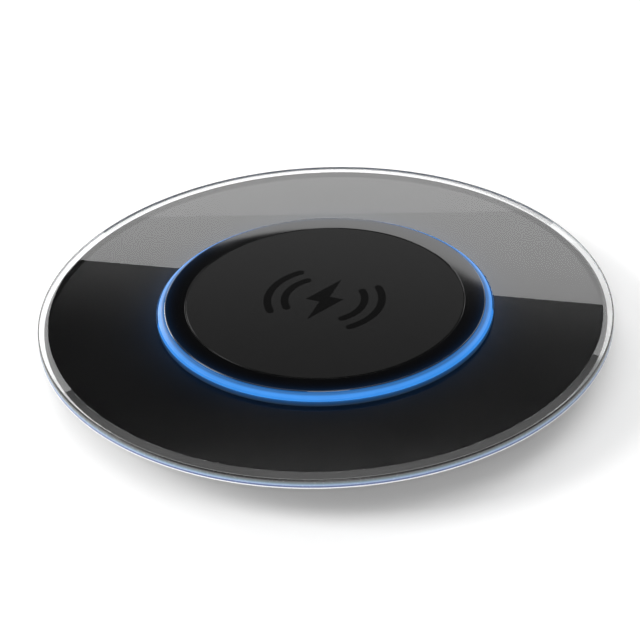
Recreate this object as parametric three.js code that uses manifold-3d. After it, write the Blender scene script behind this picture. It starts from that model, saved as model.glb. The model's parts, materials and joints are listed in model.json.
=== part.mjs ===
// Round wireless charging pad: a clear glass plate with a black backing, a raised round charging
// cap in its middle, a light ring round the cap, and a small screwed base under the plate that
// holds the coil, its ferrite and the circuit board. Millimetres, +Z up. The origin is on the
// surface that the pad stands on, under its centre. +Y is the rear, where the USB inlet opens.
import * as THREE from "three";
import { mergeVertices } from "three/addons/utils/BufferGeometryUtils.js";
import Module from "manifold-3d";

const wasm = await Module();
wasm.setup();

// ---- Driving dimensions ------------------------------------------------------------------

// Glass plate and what is stuck under it
const PLATE_RADIUS = 50;
const PLATE_THICKNESS = 2;
const PLATE_BEVEL_WIDTH = 1.8;
const PLATE_BEVEL_DROP = 0.3;
const PLATE_EDGE_ROUND = 0.2;
const PLATE_BORE_CLEARANCE = 0.13;
const CLEAR_RIM_WIDTH = 1.24;
const BACKING_THICKNESS = 0.1;
const ADHESIVE_THICKNESS = 0.2;
const ADHESIVE_INSET = 0.5;

// Charging cap and the pad set into it
const CAP_RADIUS = 28;
const CAP_RISE = 1.1;
const CAP_EDGE_ROUND = 0.25;
const CAP_RIM_FALL = 0.05;
const CAP_BRIM_WIDTH = 1;
const CAP_BRIM_THICKNESS = 0.7;
const CAP_SKIRT_WALL = 1;
const CAP_SKIRT_DEPTH = 0.8;
const CAP_WEB_THICKNESS = 0.9;
const CAP_RIM_WIDTH = 3.63;
const PAD_CLEARANCE = 0.12;
const PAD_SEAT_DEPTH = 0.6;
const PAD_SINK = 0.05;
const PAD_CHAMFER = 0.12;

// Light ring
const LIGHT_WALL_WIDTH = 1.27;
const LIGHT_WALL_TOP = 0.25;
const LIGHT_LIP_CLEARANCE = 0.06;
const LIGHT_LIP_DROP = 0.1;
const LIGHT_SKIRT_CLEARANCE = 0.2;
const LIGHT_FOOT_WIDTH = 1.03;
const LIGHT_FOOT_THICKNESS = 0.45;

// Base: housing, cover, feet and screws
const HOUSING_WALL = 1.6;
const HOUSING_CHAMFER = 0.4;
const FLANGE_THICKNESS = 0.95;
const FLANGE_CLEARANCE = 0.23;
const REAR_FACET_DEPTH = 0.7;
const COVER_THICKNESS = 1.2;
const COVER_INSET = 0.4;
const COVER_CHAMFER = 0.6;
const FOOT_RADIUS = 4.5;
const FOOT_STAND = 0.8;
const FOOT_SEAT_DEPTH = 0.5;
const FOOT_SEAT_CLEARANCE = 0.1;
const FOOT_CHAMFER = 0.35;
const FOOT_INSET = 8.6;
const BOSS_RADIUS = 1.9;
const BOSS_CLEARANCE = 0.4;
const SCREW_RADIUS = 0.8;
const SCREW_CLEARANCE = 0.15;
const SCREW_HEAD_RADIUS = 1.3;
const SCREW_HEAD_HEIGHT = 0.6;
const SCREW_SINK = 0.15;
const SCREW_LENGTH = 2.5;
const SCREW_TIP = 0.4;
const SCREW_CROSS_LENGTH = 1.6;
const SCREW_CROSS_WIDTH = 0.36;
const SCREW_CROSS_DEPTH = 0.35;

// Circuit board and the posts that carry it
const BOARD_THICKNESS = 1;
const BOARD_STAND = 1;
const BOARD_POST_RADIUS = 1.4;
const BOARD_EDGE_CLEARANCE = 0.5;
const BOARD_TAB_WIDTH = 12.4;
const BOARD_TAB_GAP = 1.1;
const PART_SPACE = 1.2;

// USB inlet
const USB_WIDTH = 7.5;
const USB_HEIGHT = 2.45;
const USB_DEPTH = 5;
const USB_WALL = 0.3;
const USB_CORNER = 0.95;
const USB_SETBACK = 0.3;
const USB_CLEARANCE = 0.25;
const USB_TONGUE_WIDTH = 3.8;
const USB_TONGUE_THICKNESS = 0.6;
const USB_TONGUE_SETBACK = 0.9;
const USB_BLOCK_DEPTH = 1.4;
const USB_WING_REACH = 1.1;
const USB_WING_LENGTH = 1.8;
const USB_WING_THICKNESS = 0.3;

// Coil, ferrite and the tray that holds them
const TRAY_CLEARANCE = 1;
const TRAY_WALL = 0.8;
const TRAY_FLOOR = 0.5;
const TRAY_LEG_RADIUS = 1.2;
const TRAY_LEG_INSET = 2.7;
const FERRITE_THICKNESS = 0.8;
const FERRITE_CLEARANCE = 0.2;
const COIL_INNER_RADIUS = 10.3;
const COIL_EDGE_MARGIN = 2;
const COIL_ADHESIVE_THICKNESS = 0.15;
const COIL_ADHESIVE_MARGIN = 0.5;
const COIL_TOP_GAP = 0.15;
const WIRE_SIZE = 1;
const WIRE_PITCH = 1.12;
const LEAD_SIZE = 0.7;
const LEAD_GAP = 0.1;
const LEAD_HOLE_RADIUS = 0.9;

// Parts soldered to the board: [name, length along X, width along Y, height, x, y, colour]
const LED_COUNT = 8;
const LED_SIZE = [1.6, 0.8, 0.4];
const BOARD_PARTS = [
  ["controller_chip", 5, 5, 0.85, 0, 0, 0x17181a],
  ["bridge_chip_1", 4, 4, 0.85, 8.5, 4, 0x17181a],
  ["bridge_chip_2", 4, 4, 0.85, 8.5, -4, 0x17181a],
  ["resonant_capacitor_1", 1.6, 3.2, 0.95, 13, -5.4, 0x8a6a4a],
  ["resonant_capacitor_2", 1.6, 3.2, 0.95, 13, -1.8, 0x8a6a4a],
  ["resonant_capacitor_3", 1.6, 3.2, 0.95, 13, 1.8, 0x8a6a4a],
  ["resonant_capacitor_4", 1.6, 3.2, 0.95, 13, 5.4, 0x8a6a4a],
  ["power_inductor", 4, 4, 1, -8.5, 7, 0x3a3b3e],
  ["input_capacitor_1", 3.2, 1.6, 0.95, -3.5, 19, 0x8a6a4a],
  ["input_capacitor_2", 3.2, 1.6, 0.95, 3.5, 19, 0x8a6a4a],
  ["crystal", 3.2, 2.5, 0.7, -7, -2, 0xb9bcc0],
  ["thermistor", 1.6, 0.8, 0.6, 0, -9, 0x2b2b2e],
];

// Facets round a full turn, in multiples of four so that round pieces reach their full width
const FINE = 96;
const MEDIUM = 72;
const SMALL = 24;
const TINY = 16;
const COARSE = 48;
const WIRE_STEPS_PER_TURN = 28;
const EDGE_STEPS = 2;
const LIP_STEPS = 4;
// How far a piece that is joined to another reaches into it, and a cutter past what it cuts
const OVERLAP = 0.2;

// ---- Levels, from the surface that the pad stands on upwards --------------------------------

const coverBottom = FOOT_STAND;
const coverTop = coverBottom + COVER_THICKNESS;
const boardBottom = coverTop + BOARD_STAND;
const boardTop = boardBottom + BOARD_THICKNESS;
const usbBottom = coverTop + USB_CLEARANCE;
const usbTop = usbBottom + USB_HEIGHT;

// The cap's top is as high as the taller of two stacks needs: the coil's and the inlet's.
const coilStack = boardTop + PART_SPACE + TRAY_FLOOR + FERRITE_THICKNESS
  + COIL_ADHESIVE_THICKNESS + WIRE_SIZE + COIL_TOP_GAP + CAP_WEB_THICKNESS + PAD_SEAT_DEPTH;
const inletStack = usbTop + USB_CLEARANCE + FLANGE_THICKNESS + ADHESIVE_THICKNESS
  + BACKING_THICKNESS + PLATE_THICKNESS + CAP_RISE;
const capTop = Math.max(coilStack, inletStack);

const plateTop = capTop - CAP_RISE;
const plateBottom = plateTop - PLATE_THICKNESS;
const backingBottom = plateBottom - BACKING_THICKNESS;
const housingTop = backingBottom - ADHESIVE_THICKNESS;
const flangeBottom = housingTop - FLANGE_THICKNESS;

const padSeat = capTop - PAD_SEAT_DEPTH;
const padTop = capTop - PAD_SINK;
const webBottom = padSeat - CAP_WEB_THICKNESS;
const brimBottom = capTop - CAP_BRIM_THICKNESS;
const coilTop = webBottom - COIL_TOP_GAP;
const coilBottom = coilTop - WIRE_SIZE;
const ferriteTop = coilBottom - COIL_ADHESIVE_THICKNESS;
const ferriteBottom = ferriteTop - FERRITE_THICKNESS;
const trayBottom = ferriteBottom - TRAY_FLOOR;

// ---- Radii, from the cap outwards and inwards --------------------------------------------------

const lightOuter = CAP_RADIUS + LIGHT_WALL_WIDTH;
const plateBore = lightOuter + PLATE_BORE_CLEARANCE;
const backingRadius = PLATE_RADIUS - CLEAR_RIM_WIDTH;
const padSeatRadius = CAP_RADIUS - CAP_RIM_WIDTH;
const padRadius = padSeatRadius - PAD_CLEARANCE;
const skirtOuter = CAP_RADIUS - CAP_BRIM_WIDTH;
const skirtInner = skirtOuter - CAP_SKIRT_WALL;
const lightInner = skirtOuter + LIGHT_SKIRT_CLEARANCE;
const lightFoot = lightOuter + LIGHT_FOOT_WIDTH;
const ledPitchRadius = (lightInner + lightOuter) / 2;

const bossPitch = lightFoot + BOSS_CLEARANCE + BOSS_RADIUS;
const housingInner = bossPitch + BOSS_RADIUS - OVERLAP / 2;
const housingRadius = housingInner + HOUSING_WALL;
const flangeInner = lightOuter + FLANGE_CLEARANCE;
const facetY = housingRadius - REAR_FACET_DEPTH;
const coverRadius = housingRadius - COVER_INSET;
const footPitch = coverRadius - FOOT_INSET;
const boardRadius = bossPitch - BOSS_RADIUS - BOARD_EDGE_CLEARANCE;
const boardTabEnd = housingInner - BOARD_TAB_GAP;
const usbFront = facetY - USB_SETBACK;
const usbBack = usbFront - USB_DEPTH;

const trayOuter = skirtInner - TRAY_CLEARANCE;
const trayInner = trayOuter - TRAY_WALL;
const legPitch = trayInner - TRAY_LEG_INSET;
const ferriteRadius = trayInner - FERRITE_CLEARANCE;
const coilOuterLimit = ferriteRadius - COIL_EDGE_MARGIN;
const coilTurns = Math.floor((coilOuterLimit - COIL_INNER_RADIUS - WIRE_SIZE) / WIRE_PITCH);
const wireStart = COIL_INNER_RADIUS + WIRE_SIZE / 2;
const wireEnd = wireStart + coilTurns * WIRE_PITCH;
const coilOuter = wireEnd + WIRE_SIZE / 2;
const innerLeadX = COIL_INNER_RADIUS - LEAD_GAP - 2 * LEAD_HOLE_RADIUS;
const outerLeadX = (trayOuter + skirtInner) / 2;

// ---- Solids -----------------------------------------------------------------------------------

// A closed geometry as a manifold solid with its shared vertices merged.
function solid(geometry) {
  const bare = geometry.clone();
  bare.deleteAttribute("normal");
  bare.deleteAttribute("uv");
  const merged = mergeVertices(bare, 1e-5);
  const corners = merged.index.array;
  const triangles = [];
  for (let i = 0; i < corners.length; i += 3) {
    const [a, b, c] = [corners[i], corners[i + 1], corners[i + 2]];
    if (a !== b && b !== c && c !== a) triangles.push(a, b, c);
  }
  return new wasm.Manifold(new wasm.Mesh({
    numProp: 3,
    vertProperties: merged.attributes.position.array,
    triVerts: new Uint32Array(triangles),
  }));
}

// A manifold solid as a geometry that a mesh can show.
function geometryOf(body) {
  const mesh = body.getMesh();
  const geometry = new THREE.BufferGeometry();
  geometry.setAttribute("position", new THREE.BufferAttribute(mesh.vertProperties, 3));
  geometry.setIndex(new THREE.BufferAttribute(mesh.triVerts, 1));
  geometry.computeVertexNormals();
  return geometry;
}

// Turns a profile of [radius, z] points round the Z axis. The points run counterclockwise, with
// the radius to the right and z up. A profile that doesn't start on the axis closes on itself.
function revolve(profile, segments) {
  const points = profile.map(([r, z]) => new THREE.Vector2(r, z));
  if (profile[0][0] > 0) points.push(points[0].clone());
  return solid(new THREE.LatheGeometry(points, segments).rotateX(Math.PI / 2));
}

function ring(inner, outer, bottom, top, segments) {
  return revolve([[inner, bottom], [outer, bottom], [outer, top], [inner, top]], segments);
}

function disc(radius, bottom, top, segments) {
  return revolve([[0, bottom], [radius, bottom], [radius, top], [0, top]], segments);
}

// An upright cylinder at [x, y].
function post(radius, bottom, top, [x, y], segments = SMALL) {
  return disc(radius, bottom, top, segments).translate([x, y, 0]);
}

// A box from its lowest to its highest corner.
function block([x0, y0, z0], [x1, y1, z1]) {
  const geometry = new THREE.BoxGeometry(x1 - x0, y1 - y0, z1 - z0);
  return solid(geometry.translate((x0 + x1) / 2, (y0 + y1) / 2, (z0 + z1) / 2));
}

// Points of a quarter of an ellipse about [r, z], counterclockwise from `from` degrees.
function quarter([r, z], [radiusR, radiusZ], from, steps) {
  return Array.from({ length: steps + 1 }, (_, i) => {
    const angle = THREE.MathUtils.degToRad(from + (90 * i) / steps);
    return [r + radiusR * Math.cos(angle), z + radiusZ * Math.sin(angle)];
  });
}

// `count` places round a circle, the first at `first` degrees from +X.
function around(count, radius, first) {
  return Array.from({ length: count }, (_, i) => {
    const angle = THREE.MathUtils.degToRad(first + (360 * i) / count);
    return [radius * Math.cos(angle), radius * Math.sin(angle)];
  });
}

const bossPlaces = around(4, bossPitch, 45);
const footPlaces = around(4, footPitch, 0);
// The tray's legs stand on the board right over the cover's posts, which carry it from below.
const legPlaces = around(4, legPitch, 45);

// ---- The group and its materials -------------------------------------------------------------

const chargingPad = new THREE.Group();
chargingPad.name = "wireless_charging_pad";

function finish(color, roughness, metalness = 0, more = {}) {
  return new THREE.MeshStandardMaterial({ color, roughness, metalness, ...more });
}

function add(name, body, material, parent = chargingPad) {
  const mesh = new THREE.Mesh(geometryOf(body), material);
  mesh.name = name;
  parent.add(mesh);
  return mesh;
}

// ---- Glass plate ---------------------------------------------------------------------------------

// The plate's top falls in a polished bevel to a rounded edge. Its bore lets the cap through.
function glassPlate() {
  const edgeTop = plateTop - PLATE_BEVEL_DROP;
  const roundCentre = PLATE_RADIUS - PLATE_EDGE_ROUND;
  const edgeRadii = [PLATE_EDGE_ROUND, PLATE_EDGE_ROUND];
  return revolve([
    [plateBore, plateBottom],
    ...quarter([roundCentre, plateBottom + PLATE_EDGE_ROUND], edgeRadii, -90, EDGE_STEPS),
    ...quarter([roundCentre, edgeTop - PLATE_EDGE_ROUND], edgeRadii, 0, EDGE_STEPS),
    [PLATE_RADIUS - PLATE_BEVEL_WIDTH, plateTop],
    [plateBore, plateTop],
  ], FINE);
}

add("glass_plate", glassPlate(), finish(0xf2f7f8, 0.02, 0, { transparent: true, opacity: 0.35 }));
add("plate_backing", ring(plateBore, backingRadius, backingBottom, plateBottom, FINE),
  finish(0x0a0a0b, 0.25));
add("plate_adhesive", ring(flangeInner + ADHESIVE_INSET, housingRadius - HOUSING_CHAMFER - ADHESIVE_INSET,
  housingTop, backingBottom, COARSE), finish(0xd8d8d2, 0.7));

// ---- Cap, pad and light ring ---------------------------------------------------------------------

// The cap is a shallow tray upside down: its brim rests on the light ring, its skirt centres it,
// and the pad is set into its top. The rim falls slightly outwards to a rounded edge.
function topCap() {
  const roundCentre = [CAP_RADIUS - CAP_EDGE_ROUND, capTop - CAP_RIM_FALL - CAP_EDGE_ROUND];
  return revolve([
    [0, webBottom],
    [skirtInner, webBottom],
    [skirtInner, webBottom - CAP_SKIRT_DEPTH],
    [skirtOuter, webBottom - CAP_SKIRT_DEPTH],
    [skirtOuter, brimBottom],
    [CAP_RADIUS, brimBottom],
    ...quarter(roundCentre, [CAP_EDGE_ROUND, CAP_EDGE_ROUND], 0, EDGE_STEPS),
    [padSeatRadius, capTop],
    [padSeatRadius, padSeat],
    [0, padSeat],
  ], MEDIUM);
}

function topPad() {
  return revolve([
    [0, padSeat],
    [padRadius, padSeat],
    [padRadius, padTop - PAD_CHAMFER],
    [padRadius - PAD_CHAMFER, padTop],
    [0, padTop],
  ], MEDIUM);
}

// The light ring comes up through the plate's bore. Its foot is caught under the housing's
// flange and relieved over the USB inlet, its inner shelf carries the cap, and its wall curves
// in to a lip round the cap.
function lightRing() {
  const lipInner = CAP_RADIUS + LIGHT_LIP_CLEARANCE;
  const wallTop = lipInner + LIGHT_WALL_TOP;
  const curveHeight = CAP_RISE - LIGHT_LIP_DROP;
  const body = revolve([
    [lightInner, flangeBottom - LIGHT_FOOT_THICKNESS],
    [lightFoot, flangeBottom - LIGHT_FOOT_THICKNESS],
    [lightFoot, flangeBottom],
    [lightOuter, flangeBottom],
    ...quarter([wallTop, plateTop], [lightOuter - wallTop, curveHeight], 0, LIP_STEPS),
    [lipInner, plateTop + curveHeight],
    [lipInner, brimBottom],
    [lightInner, brimBottom],
  ], MEDIUM);
  return body.subtract(inletCutter(coverTop, usbTop + USB_CLEARANCE));
}

add("top_cap", topCap(), finish(0x060607, 0.08));
add("top_pad", topPad(), finish(0x222224, 0.55));
add("light_ring", lightRing(), finish(0x9fc6f5, 0.3, 0, { emissive: 0x2f86ea }));

// ---- Base ----------------------------------------------------------------------------------------

// The room round the USB inlet, from its back to outside the housing's rear wall.
function inletCutter(bottom, top) {
  const half = USB_WIDTH / 2 + USB_CLEARANCE;
  return block([-half, usbBack - USB_CLEARANCE, bottom], [half, housingRadius + OVERLAP, top]);
}

// Everything behind a flat cut across the rear, so that a round base has a flat face there.
function rearCutter(y) {
  return block([-housingRadius, y, 0], [housingRadius, housingRadius + OVERLAP, housingTop + OVERLAP]);
}

function housing() {
  let body = revolve([
    [housingInner, coverTop],
    [housingRadius, coverTop],
    [housingRadius, housingTop - HOUSING_CHAMFER],
    [housingRadius - HOUSING_CHAMFER, housingTop],
    [flangeInner, housingTop],
    [flangeInner, flangeBottom],
    [housingInner, flangeBottom],
  ], MEDIUM);
  for (const place of bossPlaces) {
    body = body.add(post(BOSS_RADIUS, coverTop, flangeBottom + OVERLAP, place));
  }
  for (const place of bossPlaces) {
    body = body.subtract(post(SCREW_RADIUS + SCREW_CLEARANCE, coverTop - OVERLAP,
      coverBottom + SCREW_SINK + SCREW_HEAD_HEIGHT + SCREW_LENGTH + OVERLAP, place, TINY));
  }
  return body.subtract(inletCutter(coverTop - OVERLAP, usbTop + USB_CLEARANCE)).subtract(rearCutter(facetY));
}

function bottomCover() {
  const headRoom = SCREW_SINK + SCREW_HEAD_HEIGHT;
  let body = revolve([
    [0, coverBottom],
    [coverRadius - COVER_CHAMFER, coverBottom],
    [coverRadius, coverBottom + COVER_CHAMFER],
    [coverRadius, coverTop],
    [0, coverTop],
  ], MEDIUM);
  for (const place of legPlaces) {
    body = body.add(post(BOARD_POST_RADIUS, coverTop - OVERLAP, boardBottom, place, TINY));
  }
  for (const place of footPlaces) {
    body = body.subtract(post(FOOT_RADIUS + FOOT_SEAT_CLEARANCE, coverBottom - OVERLAP,
      coverBottom + FOOT_SEAT_DEPTH, place));
  }
  for (const place of bossPlaces) {
    body = body.subtract(post(SCREW_HEAD_RADIUS + SCREW_CLEARANCE, coverBottom - OVERLAP,
      coverBottom + headRoom, place));
    body = body.subtract(post(SCREW_RADIUS + SCREW_CLEARANCE, coverBottom, coverTop + OVERLAP, place, TINY));
  }
  return body.subtract(rearCutter(facetY - COVER_INSET));
}

function foot() {
  return revolve([
    [0, 0],
    [FOOT_RADIUS - FOOT_CHAMFER, 0],
    [FOOT_RADIUS, FOOT_CHAMFER],
    [FOOT_RADIUS, FOOT_STAND + FOOT_SEAT_DEPTH],
    [0, FOOT_STAND + FOOT_SEAT_DEPTH],
  ], SMALL);
}

// A screw standing on its head, with a crossed slot in the face that a driver meets.
function coverScrew() {
  const shank = SCREW_HEAD_HEIGHT + SCREW_LENGTH;
  const halfLength = SCREW_CROSS_LENGTH / 2;
  const halfWidth = SCREW_CROSS_WIDTH / 2;
  const body = revolve([
    [0, 0],
    [SCREW_HEAD_RADIUS, 0],
    [SCREW_HEAD_RADIUS, SCREW_HEAD_HEIGHT],
    [SCREW_RADIUS, SCREW_HEAD_HEIGHT],
    [SCREW_RADIUS, shank - SCREW_TIP],
    [SCREW_RADIUS / 2, shank],
    [0, shank],
  ], TINY);
  return body
    .subtract(block([-halfLength, -halfWidth, -OVERLAP], [halfLength, halfWidth, SCREW_CROSS_DEPTH]))
    .subtract(block([-halfWidth, -halfLength, -OVERLAP], [halfWidth, halfLength, SCREW_CROSS_DEPTH]));
}

add("housing", housing(), finish(0x101011, 0.45));
add("bottom_cover", bottomCover(), finish(0x131314, 0.6));
footPlaces.forEach(([x, y], i) => {
  add(`foot_${i + 1}`, foot(), finish(0x1b1b1c, 0.9)).position.set(x, y, 0);
});
bossPlaces.forEach(([x, y], i) => {
  add(`cover_screw_${i + 1}`, coverScrew(), finish(0x8d9093, 0.35, 1))
    .position.set(x, y, coverBottom + SCREW_SINK);
});

// ---- Circuit board -------------------------------------------------------------------------------

// A round board with a tab at the rear, notched round the sunk USB inlet.
function circuitBoard() {
  const notch = USB_WIDTH / 2 + USB_CLEARANCE;
  return disc(boardRadius, boardBottom, boardTop, MEDIUM)
    .add(block([-BOARD_TAB_WIDTH / 2, 0, boardBottom], [BOARD_TAB_WIDTH / 2, boardTabEnd, boardTop]))
    .subtract(block([-notch, usbBack - USB_CLEARANCE, boardBottom - OVERLAP],
      [notch, housingRadius, boardTop + OVERLAP]));
}

add("circuit_board", circuitBoard(), finish(0x123d26, 0.5));

const boardParts = new THREE.Group();
boardParts.position.z = boardTop;
chargingPad.add(boardParts);
for (const [name, length, width, height, x, y, colour] of BOARD_PARTS) {
  const body = block([-length / 2, -width / 2, 0], [length / 2, width / 2, height]);
  add(name, body, finish(colour, 0.5), boardParts).position.set(x, y, 0);
}

// The lamps face up into the light ring, each with its long side along the ring.
around(LED_COUNT, ledPitchRadius, 180 / LED_COUNT).forEach(([x, y], i) => {
  const [length, width, height] = LED_SIZE;
  const body = block([-length / 2, -width / 2, 0], [length / 2, width / 2, height]);
  const lamp = add(`led_${i + 1}`, body, finish(0xf3f2dc, 0.4, 0, { emissive: 0x2f86ea }), boardParts);
  lamp.position.set(x, y, 0);
  lamp.rotation.z = Math.atan2(y, x) + Math.PI / 2;
});

// ---- USB inlet -----------------------------------------------------------------------------------

// The inlet's outline, seen from the rear: flat on top, with its two lower corners cut away.
function inletOutline(width, height, corner) {
  return [
    new THREE.Vector2(-width / 2 + corner, 0),
    new THREE.Vector2(width / 2 - corner, 0),
    new THREE.Vector2(width / 2, corner),
    new THREE.Vector2(width / 2, height),
    new THREE.Vector2(-width / 2, height),
    new THREE.Vector2(-width / 2, corner),
  ];
}

// Extrudes an outline from y = front back to y = front - depth, with its base at z = bottom.
function extrudeInward(outline, front, depth, bottom) {
  const geometry = new THREE.ExtrudeGeometry(new THREE.Shape(outline), { depth, bevelEnabled: false });
  return solid(geometry.rotateX(Math.PI / 2).translate(0, front, bottom));
}

const mouthWidth = USB_WIDTH - 2 * USB_WALL;
const mouthHeight = USB_HEIGHT - 2 * USB_WALL;
// A wall of even thickness round a 45 degree corner
const mouthCorner = USB_CORNER - USB_WALL * (2 - Math.SQRT2);

function usbShell() {
  const wingFront = usbBack + USB_DEPTH / 2;
  const mouth = extrudeInward(inletOutline(mouthWidth, mouthHeight, mouthCorner),
    usbFront + OVERLAP, USB_DEPTH + 2 * OVERLAP, usbBottom + USB_WALL);
  let body = extrudeInward(inletOutline(USB_WIDTH, USB_HEIGHT, USB_CORNER), usbFront, USB_DEPTH, usbBottom);
  for (const side of [-1, 1]) {
    const xs = [side * (USB_WIDTH / 2 - USB_WALL), side * (USB_WIDTH / 2 + USB_WING_REACH)];
    body = body.add(block([Math.min(...xs), wingFront - USB_WING_LENGTH, boardTop],
      [Math.max(...xs), wingFront, boardTop + USB_WING_THICKNESS]));
  }
  return body.subtract(mouth);
}

// The insulator fills the back of the shell and carries the contact tongue towards the mouth.
function usbTongue() {
  const top = usbBottom + USB_HEIGHT - USB_WALL - mouthHeight / 4;
  return extrudeInward(inletOutline(mouthWidth, mouthHeight, mouthCorner),
    usbBack + USB_BLOCK_DEPTH, USB_BLOCK_DEPTH, usbBottom + USB_WALL)
    .add(block([-USB_TONGUE_WIDTH / 2, usbBack + USB_BLOCK_DEPTH - OVERLAP, top - USB_TONGUE_THICKNESS],
      [USB_TONGUE_WIDTH / 2, usbFront - USB_TONGUE_SETBACK, top]));
}

add("usb_shell", usbShell(), finish(0xb4b7ba, 0.3, 1));
add("usb_tongue", usbTongue(), finish(0x141415, 0.5));

// ---- Coil assembly -------------------------------------------------------------------------------

// A flat spiral that starts and ends on the +X side. Its steps are even in angle, so that the
// facets of neighbouring turns lie side by side.
class FlatSpiral extends THREE.Curve {
  getPoint(t, target = new THREE.Vector3()) {
    const angle = 2 * Math.PI * coilTurns * t;
    const radius = wireStart + (wireEnd - wireStart) * t;
    return target.set(radius * Math.cos(angle), radius * Math.sin(angle), (coilBottom + coilTop) / 2);
  }

  getPointAt(t, target) {
    return this.getPoint(t, target);
  }

  getTangentAt(t, target) {
    return this.getTangent(t, target);
  }
}

// A bar of square section along a curve.
function squareBar(curve, size, steps) {
  const half = size / 2;
  const section = new THREE.Shape([
    new THREE.Vector2(-half, -half),
    new THREE.Vector2(half, -half),
    new THREE.Vector2(half, half),
    new THREE.Vector2(-half, half),
  ]);
  return solid(new THREE.ExtrudeGeometry(section, { steps, extrudePath: curve, bevelEnabled: false }));
}

// A coil end's lead: level from fromX to toX along X, then down to the board, in one bent wire.
function coilLead(fromX, toX) {
  const level = (coilBottom + coilTop) / 2;
  const turn = Math.sign(toX - fromX) * LEAD_SIZE;
  return squareBar(new THREE.CatmullRomCurve3([
    new THREE.Vector3(fromX, 0, level),
    new THREE.Vector3(toX - turn, 0, level),
    new THREE.Vector3(toX, 0, level - LEAD_SIZE),
    new THREE.Vector3(toX, 0, boardTop),
  ], false, "catmullrom", 0.3), LEAD_SIZE, 12);
}

function coilTray() {
  const half = LEAD_HOLE_RADIUS;
  let body = revolve([
    [0, trayBottom],
    [trayOuter, trayBottom],
    [trayOuter, webBottom],
    [trayInner, webBottom],
    [trayInner, ferriteBottom],
    [0, ferriteBottom],
  ], COARSE);
  for (const place of legPlaces) {
    body = body.add(post(TRAY_LEG_RADIUS, boardTop, trayBottom + OVERLAP, place, TINY));
  }
  return body
    .subtract(post(LEAD_HOLE_RADIUS, trayBottom - OVERLAP, ferriteBottom + OVERLAP, [innerLeadX, 0], TINY))
    .subtract(block([trayInner - OVERLAP, -half, coilBottom - OVERLAP],
      [trayOuter + OVERLAP, half, webBottom + OVERLAP]));
}

function ferriteDisc() {
  return disc(ferriteRadius, ferriteBottom, ferriteTop, COARSE)
    .subtract(post(LEAD_HOLE_RADIUS, ferriteBottom - OVERLAP, ferriteTop + OVERLAP, [innerLeadX, 0], TINY));
}

add("coil_tray", coilTray(), finish(0x2c2d30, 0.6));
add("ferrite_disc", ferriteDisc(), finish(0x3b3c40, 0.75));
add("coil_adhesive", ring(COIL_INNER_RADIUS - COIL_ADHESIVE_MARGIN, coilOuter + COIL_ADHESIVE_MARGIN,
  ferriteTop, coilBottom, COARSE), finish(0xcfc9a8, 0.7));
add("charging_coil", squareBar(new FlatSpiral(), WIRE_SIZE, coilTurns * WIRE_STEPS_PER_TURN),
  finish(0xb0683a, 0.35, 0.8));
add("coil_lead_inner", coilLead(COIL_INNER_RADIUS - LEAD_GAP, innerLeadX), finish(0xb0683a, 0.35, 0.8));
add("coil_lead_outer", coilLead(coilOuter + LEAD_GAP, outerLeadX), finish(0xb0683a, 0.35, 0.8));

export default chargingPad;
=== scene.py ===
"""Wireless charging pad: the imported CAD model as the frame, with the looks built round it.

Lengths are in metres in the CAD frame: +Z up, the pad stands on z = 0, +Y is the rear.
"""
import json
import math

import bmesh
import bpy
from mathutils import Matrix, Vector


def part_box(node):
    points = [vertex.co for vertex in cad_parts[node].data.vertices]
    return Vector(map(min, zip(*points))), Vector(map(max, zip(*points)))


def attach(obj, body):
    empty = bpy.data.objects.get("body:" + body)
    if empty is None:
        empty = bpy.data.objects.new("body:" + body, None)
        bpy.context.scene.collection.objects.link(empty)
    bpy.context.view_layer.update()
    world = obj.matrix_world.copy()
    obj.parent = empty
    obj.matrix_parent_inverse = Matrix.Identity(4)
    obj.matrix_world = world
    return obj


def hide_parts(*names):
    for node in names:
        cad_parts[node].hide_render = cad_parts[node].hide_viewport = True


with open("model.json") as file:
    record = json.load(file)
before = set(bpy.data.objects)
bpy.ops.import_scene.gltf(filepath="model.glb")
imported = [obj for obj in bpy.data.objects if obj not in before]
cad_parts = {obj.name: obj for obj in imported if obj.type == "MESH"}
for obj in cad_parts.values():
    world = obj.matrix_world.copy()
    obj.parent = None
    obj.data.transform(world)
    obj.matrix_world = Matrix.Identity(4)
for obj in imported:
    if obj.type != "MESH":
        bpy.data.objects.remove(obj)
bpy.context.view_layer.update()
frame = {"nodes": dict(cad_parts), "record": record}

MM = 0.001
SEGMENTS = 256

# ---- Driving values ---------------------------------------------------------------------------

# The camera, as it stands to the pad: round from the front, up, and turned about its own axis
CAMERA_AZIMUTH = 24.0
CAMERA_ELEVATION = 32.65
CAMERA_DISTANCE = 0.3616
CAMERA_ROLL = 2.39
CAMERA_YAW = -0.144
CAMERA_PITCH = -0.199
CAMERA_LENS = 116.5
SENSOR_WIDTH = 36.0
CARD_DISTANCE = 0.9
BOX_DISTANCE = 0.95
FLOOR_REACH = 1.3
BACKDROP = (0.97, 0.97, 0.97)

# Edges and hollows too fine for the CAD model
GLASS_EDGE_ROUND = 0.12 * MM
GLASS_FOOT_CHAMFER = 0.14 * MM
GLASS_BEVEL_ROUND = 0.25 * MM
BACKING_BOND = 0.02 * MM
CAP_EDGE_ROUND = 0.2 * MM
CAP_DISH = 0.054 * MM
PAD_EDGE_ROUND = 0.07 * MM
MARK_THICKNESS = 0.02 * MM
MARK_SUNK = 0.005 * MM
MARK_STROKE = 1.35 * MM
MARK_ARC_RADII = (7.0 * MM, 10.0 * MM)
MARK_ARC_HALF_ANGLE = 42.0
BOLT_HALF = [(0.35 * MM, 6.9 * MM), (-3.1 * MM, -1.0 * MM), (-0.55 * MM, -1.0 * MM)]
RING_LIP_DROP = 0.30 * MM
RING_WALL_INSET = 0.14 * MM

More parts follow.
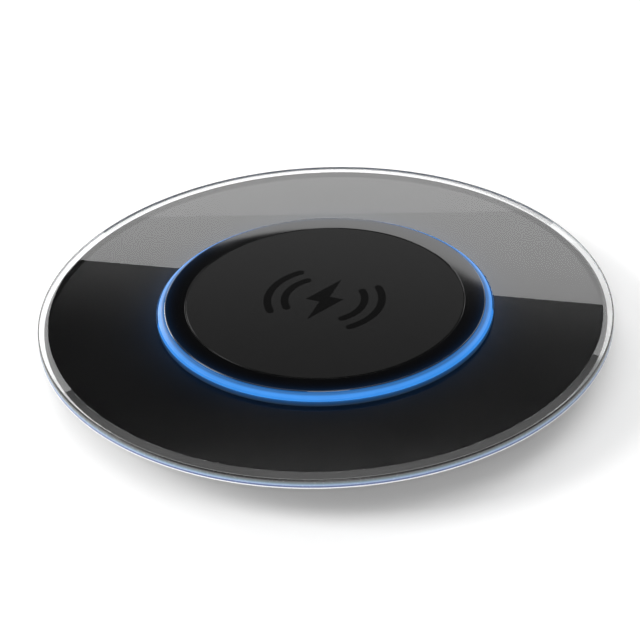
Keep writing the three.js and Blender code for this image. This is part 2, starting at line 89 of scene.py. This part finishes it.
# The ring's light: its colour, how brightly the ring glows, and how bright and how deep the painted blue
# glow is that stands for its light on the glass and cap round it
BLUE = (0.045, 0.29, 0.86)
DEEP_BLUE = (0.25, 0.42, 0.62)
WALL_BLUE = (0.16, 0.33, 0.62)
RING_LIP_LIGHT = 0.38
RING_FACE_LIGHT = 0.88
BORE_LIGHT = 0.34
BORE_FADE = 1.15 * MM
SPILL_LIGHT = 0.03
SPILL_FADE = 2.2 * MM
WALL_PAINTED_GLOW = 0.07
CAP_GLOW = 0.055
CAP_GLOW_FADE = 0.65 * MM
CAP_BRINK_LIGHT = 0.40

# The glass's outer wall colour by height, from foot to brow, all painted light: a painted highlight at the
# foot, a painted dark line, a band of painted blue light, a band of painted grey reflection, painted shade
# at the corner
WALL_PAINTED_LIGHT_BANDS = [
    (0.00, (0.78, 0.79, 0.81)), (0.17, (0.78, 0.79, 0.81)), (0.20, (0.10, 0.13, 0.25)),
    (0.35, (0.10, 0.13, 0.25)), (0.41, (0.27, 0.35, 0.50)), (0.52, (0.21, 0.29, 0.40)),
    (0.66, (0.13, 0.17, 0.18)), (0.85, (0.10, 0.10, 0.105)), (0.91, (0.01, 0.01, 0.01)),
]

# The world's brightness by elevation in degrees: walls, a dim band above them, a bright ceiling
WORLD_BANDS = [
    (0, 0.30), (24, 0.3), (30, 0.08), (33, 0.02), (39, 0.02), (44, 0.3), (57, 0.35), (68, 1.15),
]


# ---- Mesh building ----------------------------------------------------------------------------

def corner_arc(before, corner, after, radius, steps):
    """Points of the arc that rounds a corner between two straight runs of a profile."""
    a = (Vector(before) - Vector(corner)).normalized()
    b = (Vector(after) - Vector(corner)).normalized()
    half = a.angle(b) / 2
    reach = radius / math.tan(half)
    centre = Vector(corner) + (a + b).normalized() * (radius / math.sin(half))
    start = Vector(corner) + a * reach - centre
    end = Vector(corner) + b * reach - centre
    turn = start.angle_signed(end)
    arc = []
    for i in range(steps + 1):
        angle = -turn * i / steps
        arc.append((
            centre.x + start.x * math.cos(angle) - start.y * math.sin(angle),
            centre.y + start.x * math.sin(angle) + start.y * math.cos(angle),
        ))
    return arc


def rounded(points, steps=5):
    """A profile from (radius, z) or (radius, z, corner rounding) points."""
    out = []
    for i, point in enumerate(points):
        corner = point[:2]
        if len(point) == 2 or not point[2]:
            out.append(corner)
            continue
        before = points[i - 1][:2]
        after = points[(i + 1) % len(points)][:2]
        out.extend(corner_arc(before, corner, after, point[2], steps))
    return out


def new_object(name, bm):
    bmesh.ops.recalc_face_normals(bm, faces=bm.faces)
    mesh = bpy.data.meshes.new(name)
    bm.to_mesh(mesh)
    bm.free()
    mesh.shade_smooth()
    obj = bpy.data.objects.new(name, mesh)
    bpy.context.scene.collection.objects.link(obj)
    return obj


def lathe(name, profile, segments=SEGMENTS):
    """Turns a closed (radius, z) profile round the Z axis. Points on the axis become one vertex."""
    bm = bmesh.new()
    rows = []
    for r, z in profile:
        if r < 1e-9:
            rows.append([bm.verts.new((0, 0, z))])
            continue
        angles = (2 * math.pi * i / segments for i in range(segments))
        rows.append([bm.verts.new((r * math.cos(t), r * math.sin(t), z)) for t in angles])
    for one, two in zip(rows, rows[1:] + rows[:1]):
        if len(one) == 1 and len(two) == 1:
            continue
        for i in range(segments):
            j = (i + 1) % segments
            ring = [one[i % len(one)], one[j % len(one)], two[j % len(two)], two[i % len(two)]]
            corners = []
            for vertex in ring:
                if vertex not in corners:
                    corners.append(vertex)
            bm.faces.new(corners)
    return new_object(name, bm)


def even_normals(obj, sharp_angle):
    """Large faces keep their own normal, so that flats stay flat between rounded edges."""
    obj.data.set_sharp_from_angle(angle=math.radians(sharp_angle))
    normals = obj.modifiers.new("normals", "WEIGHTED_NORMAL")
    normals.keep_sharp = True
    normals.weight = 100


def ring_radii(node):
    """The smallest and largest distance of a CAD node's corners from the Z axis."""
    found = [math.hypot(v.co.x, v.co.y) for v in frame["nodes"][node].data.vertices]
    return min(found), max(found)


# ---- Materials --------------------------------------------------------------------------------

class Shader:
    """A node material with one Principled shader, and short ways to feed it."""

    def __init__(self, name, **sockets):
        self.material = bpy.data.materials.new(name)
        self.material.use_nodes = True
        self.nodes = self.material.node_tree.nodes
        self.links = self.material.node_tree.links
        self.shader = self.nodes["Principled BSDF"]
        for socket, value in sockets.items():
            self.shader.inputs[socket.replace("_", " ")].default_value = value
        self.place = self.nodes.new("ShaderNodeTexCoord").outputs["Object"]

    def feed(self, socket, value):
        if isinstance(value, (int, float)):
            socket.default_value = value
        elif isinstance(value, tuple):
            socket.default_value = (*value, 1.0) if len(value) == 3 else value
        else:
            self.links.new(value, socket)

    def set(self, name, value):
        self.feed(self.shader.inputs[name], value)

    def math(self, operation, a, b=0.0):
        node = self.nodes.new("ShaderNodeMath")
        node.operation = operation
        self.feed(node.inputs[0], a)
        self.feed(node.inputs[1], b)
        return node.outputs[0]

    def noise(self, size, detail=3.0):
        """Noise whose lumps are about `size` metres wide, from 0 to 1."""
        node = self.nodes.new("ShaderNodeTexNoise")
        node.inputs["Scale"].default_value = 1 / size
        node.inputs["Detail"].default_value = detail
        self.links.new(self.place, node.inputs["Vector"])
        return node.outputs["Fac"]

    def fade(self, distance, length, level):
        """A value that starts at `level` and falls off over `length`."""
        power = self.math("DIVIDE", distance, -length)
        return self.math("MULTIPLY", self.math("POWER", math.e, power), level)

    def spread(self, value, low, high, start=0.3, end=0.7):
        """Maps start..end of a value to low..high."""
        node = self.nodes.new("ShaderNodeMapRange")
        node.inputs["From Min"].default_value = start
        node.inputs["From Max"].default_value = end
        node.inputs["To Min"].default_value = low
        node.inputs["To Max"].default_value = high
        self.links.new(value, node.inputs["Value"])
        return node.outputs["Result"]

    def blend(self, factor, one, two):
        """A colour between two colours."""
        node = self.nodes.new("ShaderNodeMix")
        node.data_type = "RGBA"
        self.feed(node.inputs["Factor"], factor)
        self.feed(node.inputs[6], one)
        self.feed(node.inputs[7], two)
        return node.outputs[2]

    def ramp(self, value, stops):
        """A colour by value, from (value, colour) stops."""
        node = self.nodes.new("ShaderNodeValToRGB")
        elements = node.color_ramp.elements
        while len(elements) < len(stops):
            elements.new(0.5)
        for element, (position, colour) in zip(elements, stops):
            element.position = position
            element.color = (*colour, 1.0)
        self.links.new(value, node.inputs["Fac"])
        return node.outputs["Color"]

    def bump(self, height, distance):
        node = self.nodes.new("ShaderNodeBump")
        node.inputs["Distance"].default_value = distance
        self.links.new(height, node.inputs["Height"])
        self.links.new(node.outputs["Normal"], self.shader.inputs["Normal"])

    def radius(self):
        """Distance from the Z axis."""
        split = self.nodes.new("ShaderNodeSeparateXYZ")
        self.links.new(self.place, split.inputs[0])
        square = self.math("ADD", self.math("POWER", split.outputs[0], 2.0),
                           self.math("POWER", split.outputs[1], 2.0))
        return self.math("SQRT", square)

    def height(self):
        split = self.nodes.new("ShaderNodeSeparateXYZ")
        self.links.new(self.place, split.inputs[0])
        return split.outputs[2]


def clear_glass(edge_radius, bore, foot, brow, top):
    """Polished glass. Its outer wall is opaque with a fine rough finish, coloured by height with painted
    highlights, painted shade and painted blue light, and carries a faint painted blue glow; its bore is
    painted dark and carries a painted blue glow for the ring's light, and a faint painted blue glow for
    that light lies on its top round the bore."""
    s = Shader("clear_glass", IOR=1.5)
    radius = s.radius()
    height = s.height()
    wall = s.spread(radius, 0.0, 1.0, start=edge_radius - 0.30 * MM, end=edge_radius - 0.22 * MM)
    paint = s.spread(radius, 1.0, 0.0, start=bore + 0.01 * MM, end=bore + 0.02 * MM)

    clear = s.blend(s.noise(18 * MM, detail=4.0), (0.985, 0.995, 0.995), (1.0, 1.0, 1.0))
    # The outer wall's colour is painted light: bands of painted highlight, painted shade and painted blue
    # light by height
    painted_wall_bands = s.ramp(s.spread(height, 0.0, 1.0, start=foot, end=brow), WALL_PAINTED_LIGHT_BANDS)
    s.set("Base Color", s.blend(paint, s.blend(wall, clear, painted_wall_bands), (0.002, 0.002, 0.002)))
    ground_finish = s.math("MULTIPLY", wall, s.spread(s.noise(0.4 * MM), 0.2, 0.3))
    s.set("Roughness", s.math("MAXIMUM", ground_finish, s.math("MULTIPLY", paint, 0.9)))
    s.set("Transmission Weight", s.math("SUBTRACT", 1.0, s.math("MAXIMUM", wall, paint)))

    # The ring's light on the glass is painted as a blue glow: in the bore fading with depth, faintly on the
    # top round the bore, and in a band of the outer wall
    depth = s.math("SUBTRACT", top, height)
    in_bore = s.math("MULTIPLY", s.fade(depth, BORE_FADE, BORE_LIGHT), paint)
    on_top = s.spread(height, 0.0, 1.0, start=top - 0.04 * MM, end=top - 0.01 * MM)
    spill = s.math("MULTIPLY", s.fade(s.math("SUBTRACT", radius, bore), SPILL_FADE, SPILL_LIGHT), on_top)
    upper = s.spread(height, WALL_PAINTED_GLOW, 0.0, start=foot + 0.66 * MM, end=foot + 1.1 * MM)
    lower = s.spread(height, 0.0, 1.0, start=foot + 0.58 * MM, end=foot + 0.66 * MM)
    painted_wall_glow = s.math("MULTIPLY", wall, s.math("MULTIPLY", upper, lower))
    bore_colour = s.blend(s.spread(depth, 0.0, 1.0, start=1.0 * MM, end=2.1 * MM), BLUE, DEEP_BLUE)
    s.set("Emission Color", s.blend(wall, bore_colour, WALL_BLUE))
    s.set("Emission Strength", s.math("ADD", s.math("ADD", in_bore, spill), painted_wall_glow))
    return s.material


def backing_black():
    s = Shader("backing_black")
    s.shader.inputs["Specular IOR Level"].default_value = 0.40
    grain = s.noise(0.5 * MM, detail=2.0)
    s.set("Base Color", s.blend(grain, (0.0016, 0.0016, 0.0017), (0.0024, 0.0024, 0.0025)))
    s.set("Roughness", s.spread(s.noise(14 * MM, detail=4.0), 0.078, 0.092))
    return s.material


def gloss_black(edge, top):
    """Gloss black, with a painted blue glow for the ring's light, faint on the flat near the edge and
    brighter on the edge round.
    """
    s = Shader("gloss_black", IOR=1.5)
    s.set("Base Color", s.blend(s.noise(6 * MM), (0.0008, 0.0008, 0.0009), (0.0014, 0.0014, 0.0015)))
    s.set("Roughness", s.spread(s.noise(9 * MM, detail=5.0), 0.026, 0.040))
    inward = s.math("SUBTRACT", edge, s.radius())
    below = s.spread(s.height(), CAP_BRINK_LIGHT, 0.0, start=top - 0.19 * MM, end=top - 0.11 * MM)
    brink = s.math("MULTIPLY", below, s.spread(inward, 1.0, 0.0, start=0.0, end=0.3 * MM))
    # The blue glow on the cap is painted: faint on the flat near the edge, brighter on the edge round just
    # below the top
    s.shader.inputs["Emission Color"].default_value = (*BLUE, 1.0)
    s.set("Emission Strength", s.math("ADD", s.fade(inward, CAP_GLOW_FADE, CAP_GLOW), brink))
    return s.material


def soft_black():
    s = Shader("soft_black", IOR=1.5)
    s.shader.inputs["Specular IOR Level"].default_value = 0.055
    cloud = s.noise(7 * MM, detail=4.0)
    s.set("Base Color", s.blend(cloud, (0.0012, 0.0012, 0.0012), (0.0018, 0.0018, 0.0018)))
    s.set("Roughness", s.spread(s.noise(0.3 * MM), 0.20, 0.26))
    s.bump(s.noise(0.16 * MM, detail=2.0), 0.0006 * MM)
    return s.material


def mark_black():
    s = Shader("mark_black", IOR=1.5)
    s.shader.inputs["Specular IOR Level"].default_value = 0.012
    s.set("Base Color", s.blend(s.noise(2 * MM), (0.0006, 0.0006, 0.0006), (0.0010, 0.0010, 0.0010)))
    s.set("Roughness", s.spread(s.noise(0.3 * MM), 0.20, 0.26))
    return s.material


def lit_diffuser(shoulder):
    """Milky plastic lit from below, brighter outside its shoulder than on the lip beside the cap."""
    s = Shader("lit_diffuser", IOR=1.49)
    s.shader.inputs["Specular IOR Level"].default_value = 0.2
    s.set("Base Color", s.blend(s.noise(3 * MM), (0.008, 0.03, 0.07), (0.012, 0.04, 0.09)))
    s.set("Roughness", s.spread(s.noise(1.5 * MM), 0.30, 0.42))
    level = s.spread(s.radius(), RING_LIP_LIGHT, RING_FACE_LIGHT, start=shoulder - 0.30 * MM, end=shoulder)
    s.shader.inputs["Emission Color"].default_value = (*BLUE, 1.0)
    s.set("Emission Strength", s.math("MULTIPLY", level, s.spread(s.noise(5 * MM), 0.95, 1.05)))
    return s.material


def moulded_plastic(name, dark, light, low=0.42, high=0.55, grain=0.12):
    s = Shader(name, IOR=1.5)
    s.set("Base Color", s.blend(s.noise(9 * MM, detail=5.0), dark, light))
    s.set("Roughness", s.spread(s.noise(1.2 * MM), low, high))
    s.bump(s.noise(grain * MM, detail=2.0), 0.004 * MM)
    return s.material


def metal(name, dark, light, low=0.2, high=0.4):
    s = Shader(name, Metallic=1.0)
    s.set("Base Color", s.blend(s.noise(1.5 * MM, detail=4.0), dark, light))
    s.set("Roughness", s.spread(s.noise(0.5 * MM), low, high))
    s.bump(s.noise(0.3 * MM), 0.002 * MM)
    return s.material


def pale_floor():
    s = Shader("pale_floor", Roughness=0.9)
    s.shader.inputs["Specular IOR Level"].default_value = 0.1
    s.set("Base Color", s.blend(s.noise(40 * MM), (0.94, 0.94, 0.94), (0.96, 0.96, 0.96)))
    return s.material


# ---- The pieces -------------------------------------------------------------------------------

def finish_piece(obj, material, node, sharp_angle):
    obj.data.materials.append(material)
    even_normals(obj, sharp_angle)
    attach(obj, "root")
    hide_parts(node)


plate_low, plate_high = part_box("glass_plate")
plate_radius = plate_high[0]
plate_bore = ring_radii("glass_plate")[0]
backing_radius = ring_radii("plate_backing")[1]
cap_low, cap_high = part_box("top_cap")
cap_radius = cap_high[0]
pad_low, pad_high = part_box("top_pad")
pad_radius = pad_high[0]
ring_low, ring_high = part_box("light_ring")


def node_profile(node):
    """The (radius, z) corners of a turned CAD node, each once, in no order."""
    found = {
        (round(math.hypot(v.co.x, v.co.y), 6), round(v.co.z, 6))
        for v in frame["nodes"][node].data.vertices
    }
    return sorted(found)


def build_plate():
    flat_edge = max(r for r, z in node_profile("glass_plate") if z > plate_high[2] - 0.01 * MM)
    edge_top = max(z for r, z in node_profile("glass_plate") if r > flat_edge + 0.1 * MM)
    profile = rounded([
        (plate_bore, plate_low[2]),
        (plate_radius - GLASS_FOOT_CHAMFER, plate_low[2]),
        (plate_radius, plate_low[2] + GLASS_FOOT_CHAMFER),
        (plate_radius, edge_top, GLASS_EDGE_ROUND),
        (flat_edge, plate_high[2], GLASS_BEVEL_ROUND),
        (plate_bore, plate_high[2]),
    ])
    obj = lathe("clear_plate", profile)
    glass = clear_glass(plate_radius, plate_bore, plate_low[2], edge_top, plate_high[2])
    finish_piece(obj, glass, "glass_plate", 25)


def build_backing():
    low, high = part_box("plate_backing")
    obj = lathe("backing_film", [
        (plate_bore, low[2]),
        (backing_radius, low[2]),
        (backing_radius, high[2] + BACKING_BOND),
        (plate_bore, high[2] + BACKING_BOND),
    ])
    finish_piece(obj, backing_black(), "plate_backing", 30)


def build_cap():
    corners = node_profile("top_cap")
    web_bottom = min(z for r, z in corners if r < 1 * MM)
    seat = max(z for r, z in corners if r < 1 * MM)
    skirt_inner = min(r for r, z in corners if z < web_bottom - 0.1 * MM)
    skirt_outer = max(r for r, z in corners if z < web_bottom - 0.1 * MM)
    brim_bottom = min(z for r, z in corners if r > skirt_outer + 0.1 * MM)
    seat_radius = min(r for r, z in corners if z > cap_high[2] - 0.01 * MM)
    obj = lathe("gloss_cap", rounded([
        (0.0, web_bottom),
        (skirt_inner, web_bottom, 0.2 * MM),
        (skirt_inner, cap_low[2], 0.1 * MM),
        (skirt_outer, cap_low[2], 0.1 * MM),
        (skirt_outer, brim_bottom, 0.1 * MM),
        (cap_radius, brim_bottom, 0.05 * MM),
        (cap_radius, cap_high[2], CAP_EDGE_ROUND),
        (seat_radius, cap_high[2] - CAP_DISH, 0.06 * MM),
        (seat_radius, seat),
        (0.0, seat),
    ]))
    finish_piece(obj, gloss_black(cap_radius, cap_high[2]), "top_cap", 60)


def build_pad():
    obj = lathe("soft_pad", rounded([
        (0.0, pad_low[2]),
        (pad_radius, pad_low[2]),
        (pad_radius, pad_high[2] - 0.12 * MM, PAD_EDGE_ROUND),
        (pad_radius - 0.12 * MM, pad_high[2], PAD_EDGE_ROUND),
        (0.0, pad_high[2]),
    ]))
    finish_piece(obj, soft_black(), "top_pad", 60)


def build_light_ring():
    corners = node_profile("light_ring")
    inner = ring_radii("light_ring")[0]
    foot = max(r for r, z in corners)
    foot_top = max(z for r, z in corners if r > foot - 0.01 * MM)
    wall = max(r for r, z in corners if z > foot_top + 0.5 * MM)
    lip_inner = min(r for r, z in corners if z > ring_high[2] - 0.01 * MM)
    shelf = max(z for r, z in corners if r < inner + 0.01 * MM)
    lip_outer = max(r for r, z in corners if z > ring_high[2] - 0.01 * MM)
    face = wall - RING_WALL_INSET
    slope = rounded([
        (face, foot_top),
        (face, plate_high[2] + 0.32 * MM, 0.18 * MM),
        (lip_outer, cap_high[2] - RING_LIP_DROP, 0.05 * MM),
        (lip_inner, cap_high[2] - RING_LIP_DROP),
        (lip_inner, shelf),
    ])
    base = [(inner, ring_low[2]), (foot, ring_low[2]), (foot, foot_top)]
    obj = lathe("lit_ring", [*base, *slope, (inner, shelf)])
    finish_piece(obj, lit_diffuser((lip_outer + face) / 2), "light_ring", 50)


def add_prism(bm, outline, low, high):
    """A flat piece from a closed outline of (x, y) corners."""
    bottom = [bm.verts.new((x, y, low)) for x, y in outline]
    top = [bm.verts.new((x, y, high)) for x, y in outline]
    bm.faces.new(bottom[::-1])
    bm.faces.new(top)
    for i in range(len(outline)):
        j = (i + 1) % len(outline)
        bm.faces.new((bottom[i], bottom[j], top[j], top[i]))


def arc_band(radius, width, middle, half_angle, steps=28):
    """The outline of a curved stroke with round ends, about the origin."""
    outline = []
    for side, turn in ((1, 1), (-1, -1)):
        rim = radius + side * width / 2
        for i in range(steps + 1):
            angle = middle + turn * half_angle * (2 * i / steps - 1)
            outline.append((rim * math.cos(angle), rim * math.sin(angle)))
        end = middle + turn * half_angle
        for i in range(1, 8):
            along = math.pi * i / 8
            reach = radius + side * width / 2 * math.cos(along)
            swing = end + turn * width / 2 * math.sin(along) / radius
            outline.append((reach * math.cos(swing), reach * math.sin(swing)))
    return outline


def build_mark():
    """A plain charging sign: a bolt between two pairs of arcs."""
    low, high = pad_high[2] - MARK_SUNK, pad_high[2] + MARK_THICKNESS
    bm = bmesh.new()
    add_prism(bm, BOLT_HALF + [(-x, -y) for x, y in BOLT_HALF], low, high)
    for radius in MARK_ARC_RADII:
        for middle in (0.0, math.pi):
            outline = arc_band(radius, MARK_STROKE, middle, math.radians(MARK_ARC_HALF_ANGLE))
            add_prism(bm, outline, low, high)
    obj = new_object("pad_mark", bm)
    obj.data.shade_flat()
    obj.data.materials.append(mark_black())
    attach(obj, "root")


build_plate()
build_backing()
build_cap()
build_pad()
build_mark()
build_light_ring()


# The CAD nodes that stay get their materials here, by the record's slot names.
def dress_nodes():
    base = moulded_plastic("base_plastic", (0.018, 0.018, 0.019), (0.025, 0.025, 0.026))
    rubber = moulded_plastic("foot_rubber", (0.03, 0.03, 0.031), (0.045, 0.045, 0.046), 0.75, 0.9, 0.3)
    by_slot = {
        "base_black": base,
        "foot_rubber": rubber,
        "adhesive": moulded_plastic("adhesive_film", (0.7, 0.69, 0.6), (0.8, 0.79, 0.72), 0.5, 0.7, 0.8),
        "screw_steel": metal("screw_steel", (0.42, 0.43, 0.44), (0.55, 0.56, 0.57)),
        "board_green": moulded_plastic("board_mask", (0.01, 0.07, 0.03), (0.015, 0.10, 0.04),
                                       0.3, 0.45, 0.6),
        "led_body": moulded_plastic("led_body", (0.75, 0.74, 0.6), (0.85, 0.84, 0.7)),
        "inlet_steel": metal("inlet_steel", (0.5, 0.5, 0.5), (0.65, 0.65, 0.66), 0.15, 0.3),
        "inlet_plastic": moulded_plastic("inlet_plastic", (0.015, 0.015, 0.016), (0.022, 0.022, 0.023)),
        "chip_black": moulded_plastic("chip_black", (0.02, 0.02, 0.021), (0.03, 0.03, 0.031), 0.5, 0.7),
        "capacitor_tan": moulded_plastic("capacitor_tan", (0.3, 0.2, 0.12), (0.38, 0.27, 0.17), 0.35, 0.5),
        "crystal_can": metal("crystal_can", (0.6, 0.6, 0.6), (0.7, 0.7, 0.7)),
        "ferrite_grey": moulded_plastic("ferrite_grey", (0.07, 0.07, 0.075), (0.11, 0.11, 0.115),
                                        0.55, 0.7, 0.4),
        "tray_plastic": moulded_plastic("tray_plastic", (0.035, 0.035, 0.038), (0.05, 0.05, 0.053)),
        "copper_wire": metal("copper_wire", (0.5, 0.18, 0.07), (0.65, 0.28, 0.12)),
    }
    for part in frame["record"]["subparts"]:
        node = frame["nodes"][part["node"]]
        material = by_slot.get(part["material_slot"])
        if material:
            node.data.materials.clear()
            node.data.materials.append(material)


dress_nodes()


# ---- Stage: floor, lights, world and camera -----------------------------------------------------

azimuth = math.radians(CAMERA_AZIMUTH)
STUDIO_RIGHT = Vector((math.cos(azimuth), math.sin(azimuth), 0))
STUDIO_AWAY = Vector((-math.sin(azimuth), math.cos(azimuth), 0))


def studio_point(right, away, up):
    """A point given as the camera's side sees it: to the right, away, and up from the floor's middle."""
    return STUDIO_RIGHT * right + STUDIO_AWAY * away + Vector((0, 0, up))


def build_floor():
    bm = bmesh.new()
    bmesh.ops.create_grid(bm, x_segments=8, y_segments=8, size=FLOOR_REACH)
    floor = new_object("floor", bm)
    floor.data.materials.append(pale_floor())


def area_light(name, centre, direction, width, height, radiance, roll=0.0):
    """A one-sided rectangle of even radiance."""
    light = bpy.data.lights.new(name, "AREA")
    light.shape = "RECTANGLE"
    light.size = width
    light.size_y = height
    light.energy = radiance * math.pi * width * height
    obj = bpy.data.objects.new(name, light)
    aim = direction.to_track_quat("-Z", "Y").to_matrix().to_4x4()
    obj.matrix_world = Matrix.Translation(centre) @ aim @ Matrix.Rotation(roll, 4, "Z")
    obj.visible_camera = False
    bpy.context.scene.collection.objects.link(obj)
    return obj


def wall_card(name, left, right, bottom, top, slope, radiance, distance=CARD_DISTANCE):
    """A bright card upright behind the pad. Its top edge stands at `top` above the plate in the middle
    and rises to the right by `slope`."""
    middle = (left + right) / 2
    slant = math.atan(slope)
    up = STUDIO_RIGHT * -math.sin(slant) + Vector((0, 0, math.cos(slant)))
    edge = studio_point(middle, distance, plate_high[2] + top + slope * middle)
    tall = top - bottom
    wide = (right - left) / math.cos(slant)
    area_light(name, edge - up * tall / 2, -STUDIO_AWAY, wide, tall, radiance, roll=-slant)


def soft_box(name, bearing, elevation, width, height, radiance):
    """A soft box turned to the pad, at a bearing counted clockwise from straight behind it."""
    turn, rise = math.radians(bearing), math.radians(elevation)
    across = BOX_DISTANCE * math.cos(rise)
    place = studio_point(across * math.sin(turn), across * math.cos(turn), BOX_DISTANCE * math.sin(rise))
    area_light(name, place, Vector((0, 0, plate_high[2])) - place, width, height, radiance)


def build_lights():
    wall_card("back_card", -0.19, 0.22, 0.40, 0.5568, 0.151, 2.35)
    wall_card("back_card_low", -0.19, 0.22, 0.40, 0.5023, 0.030, 0.42, CARD_DISTANCE - 0.003)
    wall_card("left_card", -0.46, -0.24, 0.05, 0.80, 0.0, 3.0)
    wall_card("right_card", 0.26, 0.52, 0.05, 0.735, 0.0, 2.6)
    wall_card("haze_card", -0.4, 0.4, 0.74, 0.90, 0.0, 3.0)
    soft_box("front_box", 180, 27, 0.42, 0.42, 9.4)
    soft_box("left_box", 270, 29, 0.44, 0.44, 10.4)
    soft_box("low_box", 315, 13, 0.44, 0.40, 8.2)
    soft_box("right_box", 45, 33, 0.40, 0.40, 3.0)


def build_world():
    world = bpy.data.worlds.new("studio")
    bpy.context.scene.world = world
    world.use_nodes = True
    nodes = world.node_tree.nodes
    links = world.node_tree.links
    place = nodes.new("ShaderNodeTexCoord")
    split = nodes.new("ShaderNodeSeparateXYZ")
    ramp = nodes.new("ShaderNodeValToRGB")
    links.new(place.outputs["Generated"], split.inputs[0])
    links.new(split.outputs["Z"], ramp.inputs["Fac"])
    elements = ramp.color_ramp.elements
    while len(elements) < len(WORLD_BANDS):
        elements.new(0.5)
    for element, (elevation, level) in zip(elements, WORLD_BANDS):
        element.position = math.sin(math.radians(elevation))
        element.color = (level, level, level, 1)
    # The backdrop that the camera itself sees is plain white
    seen = nodes.new("ShaderNodeLightPath").outputs["Is Camera Ray"]
    backdrop = nodes.new("ShaderNodeMix")
    backdrop.data_type = "RGBA"
    backdrop.inputs[7].default_value = (*BACKDROP, 1)
    links.new(seen, backdrop.inputs["Factor"])
    links.new(ramp.outputs["Color"], backdrop.inputs[6])
    links.new(backdrop.outputs[2], nodes["Background"].inputs["Color"])


def build_camera():
    elevation = math.radians(CAMERA_ELEVATION)
    forward = STUDIO_AWAY * math.cos(elevation) - Vector((0, 0, math.sin(elevation)))
    target = Vector((0, 0, max(z for r, z in node_profile("glass_plate") if r > plate_radius - 0.25 * MM)))
    position = target - forward * CAMERA_DISTANCE
    right = STUDIO_RIGHT
    up = right.cross(forward)
    yaw = math.radians(CAMERA_YAW)
    forward, right = (forward * math.cos(yaw) + right * math.sin(yaw),
                      right * math.cos(yaw) - forward * math.sin(yaw))
    pitch = math.radians(CAMERA_PITCH)
    forward, up = (forward * math.cos(pitch) + up * math.sin(pitch),
                   up * math.cos(pitch) - forward * math.sin(pitch))
    roll = math.radians(CAMERA_ROLL)
    right, up = (right * math.cos(roll) - up * math.sin(roll),
                 right * math.sin(roll) + up * math.cos(roll))
    camera = bpy.data.objects.new("camera", bpy.data.cameras.new("camera"))
    camera.data.lens = CAMERA_LENS
    camera.data.sensor_width = SENSOR_WIDTH
    camera.matrix_world = Matrix((right, up, -forward)).transposed().to_4x4()
    camera.location = position
    bpy.context.scene.collection.objects.link(camera)
    bpy.context.scene.camera = camera


build_floor()
build_lights()
build_world()
build_camera()
bpy.context.scene.view_settings.view_transform = "Standard"
